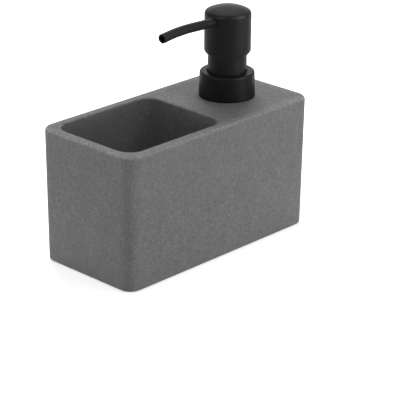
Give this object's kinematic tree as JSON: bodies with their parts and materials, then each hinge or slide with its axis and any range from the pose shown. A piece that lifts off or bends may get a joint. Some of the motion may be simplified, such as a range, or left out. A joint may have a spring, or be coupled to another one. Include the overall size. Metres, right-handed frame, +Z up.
{
  "type": "soap pump caddy",
  "caption": "Rectangular cast stone-resin sink caddy with an open sponge pocket beside a built-in soap chamber and a black press-down lotion pump with a slender spout.",
  "frame": {"origin": "middle of the block's footprint, on the surface that the feet stand on", "axes": "+X along the block towards the pump, +Y across it towards the back, +Z up"},
  "size_m": [0.155, 0.076, 0.1411],
  "materials": {
    "cast_stone": "matt speckled grey cast resin with stone filler",
    "foot_rubber": "matt",
    "black_plastic": "satin",
    "black_painted_steel": "satin black paint",
    "white_plastic": "moulded",
    "clear_plastic": "milky translucent tube",
    "seal_rubber": "matt",
    "spring_steel": "drawn wire",
    "ball_steel": "polished"
  },
  "bodies": {
    "caddy": {"caddy_body": "cast_stone", "base_plate": "cast_stone", "foot_front_left": "foot_rubber", "foot_front_right": "foot_rubber", "foot_rear_left": "foot_rubber", "foot_rear_right": "foot_rubber", "neck_insert": "black_plastic"},
    "pump_unit": {"neck_gasket": "seal_rubber", "guide_tower": "black_plastic", "stem_seal": "seal_rubber", "pump_housing": "white_plastic", "ball_cage": "white_plastic", "dip_tube": "clear_plastic", "return_spring": "spring_steel"},
    "closure": {"closure_core": "black_plastic", "closure_shell": "black_plastic"},
    "plunger": {"piston": "white_plastic"},
    "head": {"stem": "white_plastic", "head_shell": "black_plastic", "head_core": "white_plastic", "spout_tube": "black_painted_steel"},
    "inlet_ball": {"inlet_ball": "ball_steel"},
    "outlet_ball": {"outlet_ball": "ball_steel"}
  },
  "joints": [
    {"name": "closure_lift", "type": "slide", "parent": "caddy", "child": "pump_unit", "axis": [0, 0, 1], "range_m": [0, 0.00635]},
    {"name": "closure_turn", "type": "hinge", "parent": "pump_unit", "child": "closure", "pos_m": [0.0425, 0, 0.08435], "axis": [0, 0, 1], "range_deg": [0, 540]},
    {"name": "pump_press", "type": "slide", "parent": "pump_unit", "child": "plunger", "axis": [0, 0, -1], "range_m": [0, 0.00985], "stiffness_N_per_m": 700, "springref_m": -0.006, "deforming": ["return_spring"]},
    {"name": "head_swivel", "type": "hinge", "parent": "plunger", "child": "head", "pos_m": [0.0425, 0, 0.08435], "axis": [0, 0, 1], "continuous": true},
    {"name": "inlet_ball_lift", "type": "slide", "parent": "pump_unit", "child": "inlet_ball", "axis": [0, 0, 1], "range_m": [0, 0.0013]},
    {"name": "outlet_ball_lift", "type": "slide", "parent": "head", "child": "outlet_ball", "axis": [0, 0, 1], "range_m": [0, 0.0013]}
  ],
  "couplings": [
    {"joint": "closure_lift", "follows": "closure_turn", "m_per_rad": 0.0006737}
  ]
}
